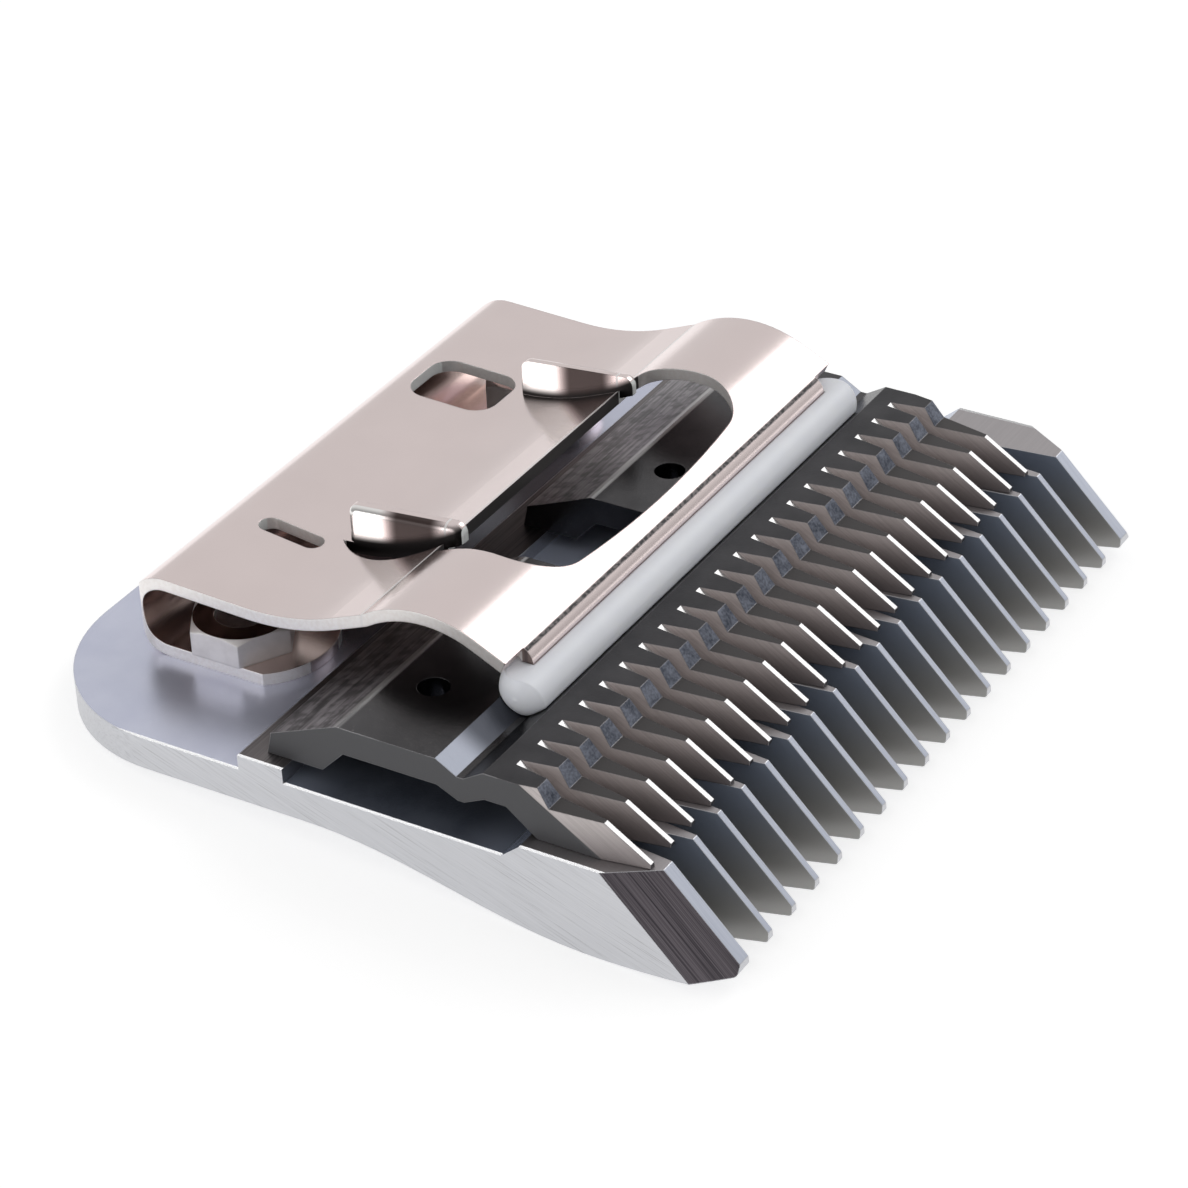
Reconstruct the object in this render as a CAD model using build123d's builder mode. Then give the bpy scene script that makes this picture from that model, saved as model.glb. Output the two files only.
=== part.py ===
"""Detachable clipper blade set: a toothed comb, a cutter that slides across it, the folded
tension spring that presses the cutter down through a guide bar, and the screws that hold the spring.

Teeth point to -Y, the cutter slides along X, +Z is the side that faces the clipper.
Lengths are measured back from the datum line where the comb's toothed front begins to slope,
heights from the ground rails that the cutter runs on."""
import os
from math import cos, radians, sin, tan

from build123d import *

# Comb: outline in side view
comb_width = 50.0
comb_front_angle = 46.0
comb_tip_reach = 4.3
comb_tip_blunt = 0.55
comb_tip_round = 0.2
shelf_length = 7.5
pocket_depth = 0.9
pocket_ramp = 1.1
pocket_rear = 22.15
rail_rear = 25.0
tail_length = 40.6
tail_thickness = 2.0
tail_step = 0.9
belly_depth = 5.5
belly_rear = 21.0
belly_front = 2.9
tail_corner = 9.3

# Comb: ground teeth
comb_pitch = 2.51
comb_land = 0.4
comb_slot_floor = 0.5
comb_slot_runout = 7.2
facet_on_front = 1.75
facet_on_side = 2.0

# Cutter: outline in side view
cutter_stroke = 3.6
cutter_side_margin = 1.0
oil_film = 0.02
cutter_height = 3.1
cutter_gauge = 1.65
cutter_rear = 23.7
cutter_rear_edge = 1.35
cutter_rear_lean = 0.3
cutter_ridge = 19.1
rear_foot_length = 3.5
foot_ramp = 1.4
groove_middle = 11.55
groove_width = 2.9
groove_flat = 0.4
groove_depth = 0.75
groove_swell = 0.6
front_foot_rear = 7.0
front_ramp = 1.8
step_top = 6.95
step_run = 0.7
land_rear_height = 2.1
land_front = 3.25
land_front_height = 1.95
cutter_tip = 0.6

# Cutter: ground teeth, drive notch and tooling holes
cutter_pitch = 2.05
cutter_land = 0.33
cutter_slot_floor = 0.42
cutter_slot_runout = 9.0
bevel_angle = 32.8
notch_width = 7.0
notch_front = 14.3
notch_corner = 1.0
tooling_hole = 1.8
tooling_row = 16.6
tooling_inner = 8.1
tooling_outer = 16.7

# Tension spring: one folded sheet, bends listed from the lower leaf over the arch to the toe
sheet = 0.72
spring_width = 35.6
fold_middle = 34.6
fold_radius = 2.5
sag_angle = 2.0
rear_flat = 5.3
rise_radius = 14.0
rise_angle = 22.0
rise_flat = 2.2
crease_angle = 12.0
arch_radius = 7.2
arch_drop_angle = 26.0
front_flat = 2.0
toe_inner_radius = 0.35
toe_length = 0.9
toe_inset = 1.75
spring_corner = 1.5

# Tension spring: lower lobes, window, hinge ears with the cuts that free them, and the slots behind
lobe_radius = 4.45
lobe_inset = 3.6
lobe_front = 26.55
web_front = 33.0
window_width = 22.0
window_front = 13.3
window_bow = 0.75
window_rear = 21.3
window_front_corner = 3.2
window_rear_corner = 0.8
ear_span = 17.6
ear_rear = 27.95
ear_front = 20.4
ear_rear_height = 6.2
ear_front_height = 6.9
ear_sink = 0.4
ear_round = 0.6
ear_edge_round = 0.45
cut_width = 1.6
cut_front = 20.9
cut_rear = 28.3
narrow_slot_width = 1.35
narrow_slot_length = 4.4
narrow_slot_lean = 6.0
narrow_slot_x = 10.35
narrow_slot_y = 31.2
wide_slot_width = 4.5
wide_slot_length = 5.7
wide_slot_corner = 1.4
wide_slot_x = 7.95
wide_slot_y = 31.55

# Guide bar
guide_clearance = 0.06
guide_ahead = 1.1
guide_behind = 1.65
guide_top_radius = 1.2
guide_end_radius = 1.75
guide_overhang = 0.3
toe_fit = 0.05

# Screws and nuts
screw_diameter = 3.0
screw_fit = 0.1
screw_head = 5.6
screw_inset = 2.6
screw_row = 31.4
screw_recess = 0.2
driver_slot_width = 0.8
driver_slot_depth = 0.7
nut_across_flats = 5.5
nut_height = 1.65
nut_chamfer_angle = 30.0
nut_fit = 0.05

# Places that follow from the sizes above
through = 2 * tail_length
datum_y = (comb_tip_reach - tail_length) / 2
datum_z = belly_depth
tip_drop = comb_tip_reach * tan(radians(comb_front_angle))
tail_bottom = tail_step + tail_thickness
cutter_width = comb_width - 2 * cutter_side_margin - cutter_stroke
cutter_x = -cutter_stroke / 2
spring_half = spring_width / 2
screw_x = spring_half - screw_inset
side_view = Plane(origin=(0, datum_y, datum_z), x_dir=(0, 1, 0), z_dir=(1, 0, 0))


def plan_view(height):
    """Plane seen from above, at a height over the rails, with the datum line as its x axis."""
    return Plane(origin=(0, datum_y, datum_z + height))


def slope_view(length, height, angle, middle=0.0):
    """Plane across a slope that falls towards the teeth, through a point of the side view."""
    fall = (0, -cos(radians(angle)), -sin(radians(angle)))
    return Plane(origin=(middle, datum_y + length, datum_z + height), x_dir=(1, 0, 0), z_dir=fall)


def slot_section(floor, depth, mouth):
    """Corners of one tapered tooth slot: its narrow floor on the x axis, its mouth at a depth.
    The walls go on at the same taper to twice the depth, clear of the blade."""
    half_mouth = mouth - floor / 2
    return [(-floor / 2, 0), (floor / 2, 0), (half_mouth, 2 * depth), (-half_mouth, 2 * depth)]


def row_of(count, pitch):
    """Evenly spaced places along x, centred on zero."""
    return [(index - (count - 1) / 2) * pitch for index in range(count)]


# Comb
comb_slots = int((comb_width - 2 * facet_on_front) / comb_pitch)
comb_slot_depth = comb_slot_runout * sin(radians(comb_front_angle))
with BuildPart() as comb:
    with BuildSketch(side_view) as comb_side:
        with BuildLine():
            top = Polyline(
                (-comb_tip_reach, -tip_drop),
                (0, 0),
                (shelf_length, 0),
                (shelf_length + pocket_ramp, -pocket_depth),
                (pocket_rear, -pocket_depth),
                (pocket_rear, 0),
                (rail_rear, 0),
                (rail_rear, -tail_step),
                (tail_length, -tail_step),
                (tail_length, -tail_bottom),
                (belly_rear, -tail_bottom),
            )
            belly = Spline(top @ 1, (belly_front, -belly_depth), tangents=((-1, 0), (-1, 0)))
            chin = TangentArc(belly @ 1, (-comb_tip_reach, -tip_drop - comb_tip_blunt), tangent=(-1, 0))
            Line(chin @ 1, top @ 0)
        make_face()
        fillet(comb_side.vertices().sort_by(Axis.X)[:2], comb_tip_round)
    extrude(amount=comb_width / 2, both=True)
    fillet(comb.edges().filter_by(Axis.Z).group_by(Axis.Y)[-1], tail_corner)
    with BuildSketch(slope_view(0, 0, comb_front_angle)):
        for side in (-1, 1):
            edge = side * comb_width / 2
            Polygon((edge, 0), (edge - side * facet_on_front, 0), (edge, -facet_on_side), align=None)
    extrude(amount=through, both=True, mode=Mode.SUBTRACT)
    with BuildSketch(slope_view(comb_slot_runout, 0, comb_front_angle)):
        with Locations(*[(x, 0) for x in row_of(comb_slots, comb_pitch)]):
            comb_slot = slot_section(comb_slot_floor, comb_slot_depth, comb_pitch - comb_land)
            Polygon(*comb_slot, align=None)
    extrude(amount=through, both=True, mode=Mode.SUBTRACT)
    underside = Plane(origin=(0, datum_y + screw_row, datum_z - tail_bottom), z_dir=(0, 0, -1))
    with Locations(underside):
        with Locations((-screw_x, 0), (screw_x, 0)):
            CounterSinkHole(screw_diameter / 2 + screw_fit, screw_head / 2 + screw_fit)
comb.part.label = "comb"

# Cutter
cutter_slots = round(cutter_width / cutter_pitch) + 1
bevel_fall = tan(radians(bevel_angle))
cutter_tip_height = land_front_height - (land_front - cutter_tip) * bevel_fall
slot_floor_at_land = cutter_height - (cutter_slot_runout - land_front) * bevel_fall
cutter_slot_depth = (land_front_height - slot_floor_at_land) * cos(radians(bevel_angle))
plate_under = cutter_height - cutter_gauge
cutter_side_view = side_view.offset(cutter_x)
with BuildPart() as cutter:
    with BuildSketch(cutter_side_view):
        with BuildLine():
            Polyline(
                (cutter_tip, oil_film),
                (cutter_tip, cutter_tip_height),
                (land_front, land_front_height),
                (step_top - step_run, land_rear_height),
                (step_top, cutter_height),
                (groove_middle - groove_width / 2, cutter_height),
                (groove_middle - groove_flat / 2, cutter_height - groove_depth),
                (groove_middle + groove_flat / 2, cutter_height - groove_depth),
                (groove_middle + groove_width / 2, cutter_height),
                (cutter_ridge, cutter_height),
                (cutter_rear - cutter_rear_lean, cutter_rear_edge),
                (cutter_rear, oil_film),
                (cutter_rear - rear_foot_length, oil_film),
                (cutter_rear - rear_foot_length - foot_ramp, plate_under),
                (groove_middle + groove_width / 2, plate_under),
                (groove_middle + groove_flat / 2, plate_under - groove_swell),
                (groove_middle - groove_flat / 2, plate_under - groove_swell),
                (groove_middle - groove_width / 2, plate_under),
                (front_foot_rear + front_ramp, plate_under),
                (front_foot_rear, oil_film),
                close=True,
            )
        make_face()
    extrude(amount=cutter_width / 2, both=True)
    with BuildSketch(slope_view(cutter_slot_runout, cutter_height, bevel_angle, cutter_x)):
        with Locations(*[(x, 0) for x in row_of(cutter_slots, cutter_pitch)]):
            cutter_slot = slot_section(cutter_slot_floor, cutter_slot_depth, cutter_pitch - cutter_land)
            Polygon(*cutter_slot, align=None)
    extrude(amount=through, both=True, mode=Mode.SUBTRACT)
    with BuildSketch(plan_view(0)):
        notch_length = 2 * (cutter_rear - notch_front)
        with Locations((cutter_x, cutter_rear)):
            RectangleRounded(notch_width, notch_length, notch_corner)
        with Locations((cutter_x, tooling_row)):
            with Locations(*[(side * x, 0) for x in (tooling_inner, tooling_outer) for side in (-1, 1)]):
                Circle(tooling_hole / 2)
    extrude(amount=2 * cutter_height, mode=Mode.SUBTRACT)
cutter.part.label = "cutter"

# Tension spring
with BuildPart() as tension_spring:
    with BuildSketch(side_view):
        with BuildLine():
            lower = Line((lobe_front, -tail_step), (fold_middle, -tail_step))
            fold = JernArc(lower @ 1, lower % 1, fold_radius, 180 + sag_angle)
            rear = PolarLine(fold @ 1, rear_flat, 180 + sag_angle)
            rise = JernArc(rear @ 1, rear % 1, rise_radius, -(sag_angle + rise_angle))
            climb = PolarLine(rise @ 1, rise_flat, 180 - rise_angle)
            arch_start = 180 - rise_angle - crease_angle
            uphill = (cos(radians(arch_start)), sin(radians(arch_start)))
            arch = JernArc(climb @ 1, uphill, arch_radius, rise_angle + crease_angle + arch_drop_angle)
            front = PolarLine(arch @ 1, front_flat, 180 + arch_drop_angle)
            bend = JernArc(front @ 1, front % 1, sheet + toe_inner_radius, 90 - arch_drop_angle)
            toe = Line(bend @ 1, bend @ 1 - (0, toe_length))
            offset(amount=sheet, side=Side.LEFT)
        make_face()
    extrude(amount=spring_half, both=True)
    bend_start = (front @ 1).X
    leaf_end_height = (front @ 1).Y
    toe_front = (toe @ 1).X
    toe_end = (toe @ 1).Y
    fold_rear = fold_middle + fold_radius
    leaf_floor = fold_radius - tail_step
    # Rounded corners at the fold
    with BuildSketch(plan_view(-tail_step)):
        with Locations((0, fold_rear - through / 2)):
            RectangleRounded(spring_width, through, spring_corner)
    extrude(amount=through, mode=Mode.INTERSECT)
    # The toe that bends down into the guide bar is narrower than the leaf
    toe_reach = 2 * (toe_length + sheet + toe_inner_radius)
    with BuildSketch(slope_view(bend_start, leaf_end_height, arch_drop_angle)):
        with Locations(*[(side * (spring_half - toe_inset / 2), 0) for side in (-1, 1)]):
            Rectangle(toe_inset, toe_reach)
    extrude(amount=toe_reach, mode=Mode.SUBTRACT)
    # Lower leaf: two rounded lobes, trimmed by its sides and joined by a web at the fold
    with BuildSketch(plan_view(-tail_step)):
        with Locations((0, (web_front + lobe_front) / 2)):
            Rectangle(spring_width, web_front - lobe_front)
        lobe_x = spring_half - lobe_inset
        lobe_y = lobe_front + lobe_radius
        with Locations((-lobe_x, lobe_y), (lobe_x, lobe_y)):
            Circle(lobe_radius, mode=Mode.SUBTRACT)
            lobe_back = (Align.CENTER, Align.MIN)
            Rectangle(2 * lobe_radius, web_front - lobe_y, align=lobe_back, mode=Mode.SUBTRACT)
    extrude(amount=fold_radius, mode=Mode.SUBTRACT)
    with BuildSketch(plan_view(-tail_step)):
        with Locations((-screw_x, screw_row), (screw_x, screw_row)):
            Circle(screw_diameter / 2 + screw_fit)
    extrude(amount=fold_radius, mode=Mode.SUBTRACT)
    # Upper leaf: window over the cutter and one slot behind each ear
    with BuildSketch(plan_view(leaf_floor)) as openings:
        with BuildLine():
            window_half = window_width / 2
            bowed_front = window_front + window_bow
            bow = ThreePointArc((-window_half, bowed_front), (0, window_front), (window_half, bowed_front))
            Polyline(bow @ 1, (window_half, window_rear), (-window_half, window_rear), bow @ 0)
        make_face()
        fillet(openings.vertices().group_by(Axis.Y)[0], window_front_corner)
        fillet(openings.vertices().group_by(Axis.Y)[-1], window_rear_corner)
        with Locations((-narrow_slot_x, narrow_slot_y)):
            SlotOverall(narrow_slot_length, narrow_slot_width, rotation=90 - narrow_slot_lean)
        with Locations((wide_slot_x, wide_slot_y)):
            RectangleRounded(wide_slot_width, wide_slot_length, wide_slot_corner)
    extrude(amount=through, mode=Mode.SUBTRACT)
    # A crescent cut frees each ear on its outer side and runs into the window
    ear_outside = ear_span / 2 + sheet
    cut_radius = ((cut_rear - cut_front) ** 2 / 4 + cut_width ** 2) / (2 * cut_width)
    cut_x = ear_outside + cut_width - cut_radius
    with BuildSketch(plan_view(leaf_floor)):
        with Locations(*[(side * cut_x, (cut_front + cut_rear) / 2) for side in (-1, 1)]):
            Circle(cut_radius)
        Rectangle(2 * ear_outside, through, mode=Mode.SUBTRACT)
    extrude(amount=through, mode=Mode.SUBTRACT)
    # Hinge ears stand on the rising leaf and reach a little over the window
    ear_x = (ear_span + sheet) / 2
    for side in (-1, 1):
        with BuildSketch(side_view.offset(side * ear_x)) as ear:
            Polygon(
                (ear_rear, (rear @ 1).Y - ear_sink),
                (ear_rear, ear_rear_height),
                (ear_front, ear_front_height),
                (ear_front, (climb @ 1).Y),
                (window_rear, (climb @ 1).Y - ear_sink),
                ((rise @ 1).X, (rise @ 1).Y - ear_sink),
                align=None,
            )
            fillet(ear.vertices().sort_by(Axis.Y)[-2:], ear_round)
        extrude(amount=sheet / 2, both=True)
        outside = side * ear_outside
        rim = tension_spring.edges().filter_by_position(Axis.X, outside - sheet / 4, outside + sheet / 4)
        rim = rim.filter_by_position(Axis.Y, datum_y + ear_front, datum_y + ear_rear)
        fillet(rim.sort_by(Axis.Z)[-1], ear_edge_round)
tension_spring.part.label = "tension_spring"

# Guide bar
groove_half_flat = groove_flat / 2
groove_slope = groove_depth / (groove_width / 2 - groove_half_flat)
guide_bottom = cutter_height - groove_depth + guide_clearance
guide_shoulder = guide_bottom + (guide_ahead - groove_half_flat) * groove_slope
guide_front = groove_middle - guide_ahead
guide_rear = groove_middle + guide_behind
guide_middle = (guide_front + guide_rear) / 2
guide_length = spring_width + 2 * guide_overhang
guide_height = leaf_end_height - sheet / cos(radians(arch_drop_angle)) - toe_fit
with BuildPart() as blade_guide:
    with BuildSketch(side_view) as guide_side:
        with BuildLine():
            Polyline(
                (groove_middle - groove_half_flat, guide_bottom),
                (groove_middle + groove_half_flat, guide_bottom),
                (groove_middle + groove_width / 2, cutter_height + guide_clearance),
                (guide_rear, cutter_height + guide_clearance),
                (guide_rear, guide_height),
                (guide_front, guide_height),
                (guide_front, guide_shoulder),
                close=True,
            )
        make_face()
        fillet(guide_side.vertices().group_by(Axis.Y)[-1].sort_by(Axis.X)[:1], guide_top_radius)
    extrude(amount=guide_length / 2, both=True)
    # Round ends: a long capsule about the bar's own axis trims the section
    guide_axis = plan_view((guide_bottom + guide_height) / 2)
    with BuildSketch(guide_axis):
        with Locations((0, guide_middle)):
            SlotOverall(guide_length, 2 * guide_end_radius)
            Rectangle(guide_length, guide_end_radius, align=(Align.CENTER, Align.MAX), mode=Mode.SUBTRACT)
    revolve(axis=Axis(guide_axis.from_local_coords((0, guide_middle)), (1, 0, 0)), mode=Mode.INTERSECT)
    # Pocket for the spring's toe
    with BuildSketch(side_view):
        Polygon(
            (toe_front - toe_fit, toe_end - toe_fit),
            (toe_front + sheet + toe_fit, toe_end - toe_fit),
            (toe_front + sheet + toe_fit, 2 * guide_height),
            (toe_front - toe_fit, 2 * guide_height),
            align=None,
        )
    extrude(amount=spring_half - toe_inset + toe_fit, both=True, mode=Mode.SUBTRACT)
blade_guide.part.label = "blade_guide"


def make_screw(name, x):
    """Flush countersunk screw, driven from the underside of the comb."""
    screw_top = sheet - tail_step + nut_height - screw_recess
    head_drop = (screw_head - screw_diameter) / 2
    place = Plane(origin=(x, datum_y + screw_row, datum_z - tail_bottom), x_dir=(1, 0, 0), z_dir=(0, -1, 0))
    with BuildPart() as screw:
        with BuildSketch(place):
            Polygon(
                (0, 0),
                (screw_head / 2, 0),
                (screw_diameter / 2, head_drop),
                (screw_diameter / 2, tail_bottom + screw_top),
                (0, tail_bottom + screw_top),
                align=None,
            )
        revolve(axis=Axis(place.origin, (0, 0, 1)))
        with BuildSketch(Plane(origin=place.origin)):
            Rectangle(driver_slot_width, 2 * screw_head)
        extrude(amount=driver_slot_depth, mode=Mode.SUBTRACT)
    screw.part.label = name
    return screw.part


def make_nut(name, x):
    """Thin hexagon nut on the lower leaf, one flat towards the side of the blade."""
    place = Plane(origin=(x, datum_y + screw_row, datum_z - tail_step + sheet))
    with BuildPart() as nut:
        with BuildSketch(place):
            RegularPolygon(nut_across_flats / 2, 6, major_radius=False, rotation=30)
        extrude(amount=nut_height)
        top_radius = nut_across_flats / 2
        bottom_radius = top_radius + nut_height / tan(radians(nut_chamfer_angle))
        with Locations(place):
            upright = (Align.CENTER, Align.CENTER, Align.MIN)
            Cone(bottom_radius, top_radius, nut_height, align=upright, mode=Mode.INTERSECT)
        with BuildSketch(place):
            Circle(screw_diameter / 2 + nut_fit)
        extrude(amount=nut_height, mode=Mode.SUBTRACT)
    nut.part.label = name
    return nut.part


pieces = [comb.part, cutter.part, tension_spring.part, blade_guide.part]
for side, x in (("left", -screw_x), ("right", screw_x)):
    pieces.append(make_screw(side + "_screw", x))
    pieces.append(make_nut(side + "_nut", x))

os.makedirs("parts", exist_ok=True)
for piece in pieces:
    export_step(piece, f"parts/{piece.label}.step")
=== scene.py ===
# %% [markdown]
# # A detachable clipper blade, dressed for its portrait
# The blade set is a handful of metal finishes and one white moulding within 50 mm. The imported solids
# already have the right form, so this lesson is about light and finishes: how ground, blackened and plated
# steel differ, and how one solid can carry several finishes, each where the grinding wheel or the bath left
# it.

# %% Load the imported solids
from math import atan, cos, radians, sin

import bpy
import numpy as np
from mathutils import Matrix, Vector


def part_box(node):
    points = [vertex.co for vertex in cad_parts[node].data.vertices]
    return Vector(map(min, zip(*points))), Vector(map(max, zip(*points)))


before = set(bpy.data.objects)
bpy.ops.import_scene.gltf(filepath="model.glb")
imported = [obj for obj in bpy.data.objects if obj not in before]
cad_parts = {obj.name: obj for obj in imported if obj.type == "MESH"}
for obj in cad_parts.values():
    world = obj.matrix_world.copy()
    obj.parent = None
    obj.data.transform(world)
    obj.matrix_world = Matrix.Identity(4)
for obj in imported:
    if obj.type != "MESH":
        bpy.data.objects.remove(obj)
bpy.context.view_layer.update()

MM = 0.001
comb_low, comb_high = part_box("comb")
cutter_low, cutter_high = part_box("cutter")
print("solids:", sorted(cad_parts))

# %% [markdown]
# ## The camera
# The photograph looks across the near front corner, down at about 33 degrees, through a long lens. A camera
# can be pushed about by hand until it looks right, but numbers can be fitted and come back the same each
# time. Azimuth and elevation turn it round a point inside the blade, and a small roll tilts it the way it
# was held.

# %% Camera
AIM = Vector((-2.089, -1.377, 5.0)) * MM
AZIMUTH = radians(-57.643)
ELEVATION = radians(32.537)
ROLL = radians(-2.697)
DISTANCE = 225.08 * MM
LENS = 121.97


def direction(azimuth, elevation):
    """Unit vector towards a place in the room: azimuth 0 is in front of the teeth, 90 on the +X side."""
    return Vector((sin(azimuth) * cos(elevation), -cos(azimuth) * cos(elevation), sin(elevation)))


def add_camera():
    """The camera stands off along its direction, looks back at the aim and rolls about its own axis."""
    back = direction(AZIMUTH, ELEVATION)
    camera = bpy.data.objects.new("camera", bpy.data.cameras.new("camera"))
    camera.data.lens = LENS
    camera.data.clip_start = 1 * MM
    turn = back.to_track_quat("Z", "Y").to_matrix() @ Matrix.Rotation(ROLL, 3, "Z")
    camera.matrix_world = Matrix.Translation(AIM + back * DISTANCE) @ turn.to_4x4()
    bpy.context.scene.collection.objects.link(camera)
    bpy.context.scene.camera = camera
    return camera


camera = add_camera()
bpy.context.scene.view_settings.view_transform = "Standard"
print("camera at mm:", [round(value / MM, 1) for value in camera.location])

# %% [markdown]
# ## A short way to write node trees
# Nodes could be added one by one, at four or five lines each, but that soon buries a lesson in boilerplate.
# This small class adds a node, fills its sockets by name and hands back an output, so that each finish
# below reads as a recipe: this mask, that colour, this roughness.


# %% Node tree helper
class Tree:
    """A shader node tree. Values given to it may be plain numbers, tuples or the output of another node."""

    def __init__(self, tree):
        self.tree = tree

    def put(self, value, socket):
        """Links an output to a socket, or sets the socket's own value."""
        if isinstance(value, bpy.types.NodeSocket):
            self.tree.links.new(value, socket)
        elif value is not None:
            socket.default_value = (*value, 1.0) if socket.type == "RGBA" else value

    def node(self, kind, sockets=None, **settings):
        """Adds a node, sets its properties and fills its sockets, by name or by number."""
        node = self.tree.nodes.new(kind)
        for name, value in settings.items():
            setattr(node, name, value)
        for name, value in (sockets or {}).items():
            self.put(value, node.inputs[name])
        return node

    def math(self, operation, first, second=None):
        """One sum of two values."""
        return self.node("ShaderNodeMath", {0: first, 1: second}, operation=operation).outputs[0]

    def vector(self, operation, first, second=None):
        """One sum of two vectors. A dot product comes out as a value."""
        node = self.node("ShaderNodeVectorMath", {0: first, 1: second}, operation=operation)
        return node.outputs["Value" if operation == "DOT_PRODUCT" else "Vector"]

    def all_of(self, *masks):
        """A mask that is 1 only where every mask is 1: their product."""
        product = masks[0]
        for mask in masks[1:]:
            product = self.math("MULTIPLY", product, mask)
        return product

    def none_of(self, mask):
        """A mask that is 1 where the given one is 0, and 0 where it is 1."""
        return self.math("SUBTRACT", 1.0, mask)

    def ramp(self, value, low, high, start=0.0, end=1.0):
        """A smooth step from start to end while the value goes from low to high."""
        sockets = {"Value": value, "From Min": low, "From Max": high, "To Min": start, "To Max": end}
        return self.node("ShaderNodeMapRange", sockets, interpolation_type="SMOOTHSTEP").outputs[0]

    def mix(self, mask, first, second):
        """First colour where the mask is 0, second where it is 1."""
        return self.node("ShaderNodeMix", {0: mask, 6: first, 7: second}, data_type="RGBA").outputs[2]

    def blend(self, mask, first, second):
        """First value where the mask is 0, second where it is 1."""
        return self.node("ShaderNodeMix", {0: mask, 2: first, 3: second}, data_type="FLOAT").outputs[0]

    def group(self, group, **sockets):
        """Places a node group and returns its outputs by name."""
        return self.node("ShaderNodeGroup", sockets, node_tree=group).outputs


def new_group(name, inputs, outputs):
    """An empty node group with named sockets, each given as name=kind."""
    group = bpy.data.node_groups.new(name, "ShaderNodeTree")
    for way, sockets in (("INPUT", inputs), ("OUTPUT", outputs)):
        for socket_name, kind in sockets.items():
            group.interface.new_socket(socket_name, in_out=way, socket_type="NodeSocket" + kind)
    tree = Tree(group)
    return group, tree, tree.node("NodeGroupInput").outputs, tree.node("NodeGroupOutput").inputs


print("node tree helper ready")

# %% [markdown]
# ## The stage
# The real blade does not lie flat: it rests on the bulge under its teeth and on the rear edge of its tail,
# tipped back by about four degrees. Tipping the solids would take them out of their shared frame, so the
# floor is tipped instead. Its slope is the steepest line from the rear edge to any point of the comb, which
# is the line that touches it from below.

# %% Floor
FLOOR_SIZE = 3.0
FLOOR_COLOUR = (0.60, 0.60, 0.60)
FLOOR_GLOW = 0.62
REAR_EDGE = 0.01 * MM


def seen_directly(tree):
    """1 for rays from the camera, off metal or through glass, and 0 for rays that only light things."""
    path = tree.node("ShaderNodeLightPath").outputs
    seen = tree.math("MAXIMUM", path["Is Camera Ray"], path["Is Glossy Ray"])
    return tree.math("MAXIMUM", seen, path["Is Transmission Ray"])


def floor_finish():
    """Pale paper: a diffuse sheet that keeps the shadow, with a glow that only the eye sees."""
    material = bpy.data.materials.new("pale_paper")
    material.use_nodes = True
    material.node_tree.nodes.clear()
    tree = Tree(material.node_tree)
    paper = tree.node("ShaderNodeBsdfDiffuse", {"Color": FLOOR_COLOUR})
    glow_strength = tree.math("MULTIPLY", seen_directly(tree), FLOOR_GLOW)
    glow = tree.node("ShaderNodeEmission", {"Strength": glow_strength})
    both = tree.node("ShaderNodeAddShader", {0: paper.outputs[0], 1: glow.outputs[0]})
    tree.node("ShaderNodeOutputMaterial", {"Surface": both.outputs[0]})
    return material


def add_floor():
    """A square sheet whose height follows the line under the comb: rear height + slope times length."""
    points = np.array([vertex.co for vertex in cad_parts["comb"].data.vertices])
    rear = points[points[:, 1] > comb_high.y - REAR_EDGE]
    rear_y, rear_z = rear[:, 1].max(), rear[:, 2].min()
    ahead = points[points[:, 1] < rear_y - MM]
    slope = ((rear_z - ahead[:, 2]) / (rear_y - ahead[:, 1])).max()
    half = FLOOR_SIZE / 2
    corners = np.array([(-half, -half), (half, -half), (half, half), (-half, half)])
    heights = rear_z + slope * (corners[:, 1] - rear_y)
    mesh = bpy.data.meshes.new("floor")
    mesh.from_pydata(np.column_stack([corners, heights]).tolist(), [], [(0, 1, 2, 3)])
    floor = bpy.data.objects.new("floor", mesh)
    floor.data.materials.append(floor_finish())
    bpy.context.scene.collection.objects.link(floor)
    return slope


print("floor tipped by degrees:", round(np.degrees(atan(add_floor())), 2))

# %% [markdown]
# ## Light
# Polished metal shows its room more than its own colour. A plain white tent would leave the spring looking
# like paper, and bare lamps would leave hard spots on it. So the room is brighter on the far side and
# dimmer behind the camera, for reflections only, as large cards make it in a product photograph. Of two
# soft boxes, the right one draws the highlight along the spring's arch and the left one lights the near
# side. The eye sees plain white.

# %% World and lamps
ROOM_LEVEL = 0.75
BRIGHT_SIDE = direction(radians(110), radians(35))
BRIGHT_FROM, BRIGHT_TO = 0.1, 0.7
DIM_REFLECTION = 0.38
BRIGHT_REFLECTION = 0.87


def add_world():
    """The room's light: even for diffuse surfaces, white for the eye, shaded by direction for reflections."""
    world = bpy.data.worlds.new("studio")
    bpy.context.scene.world = world
    world.use_nodes = True
    world.node_tree.nodes.clear()
    tree = Tree(world.node_tree)
    path = tree.node("ShaderNodeLightPath").outputs
    towards = tree.node("ShaderNodeTexCoord").outputs["Generated"]
    side = tree.vector("DOT_PRODUCT", towards, BRIGHT_SIDE)
    reflected = tree.ramp(side, BRIGHT_FROM, BRIGHT_TO, DIM_REFLECTION, BRIGHT_REFLECTION)
    level = tree.blend(path["Is Glossy Ray"], ROOM_LEVEL, reflected)
    seen = tree.math("MAXIMUM", path["Is Camera Ray"], path["Is Transmission Ray"])
    background = tree.node("ShaderNodeBackground", {"Strength": tree.blend(seen, level, 1.0)})
    tree.node("ShaderNodeOutputWorld", {"Surface": background.outputs[0]})


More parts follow.
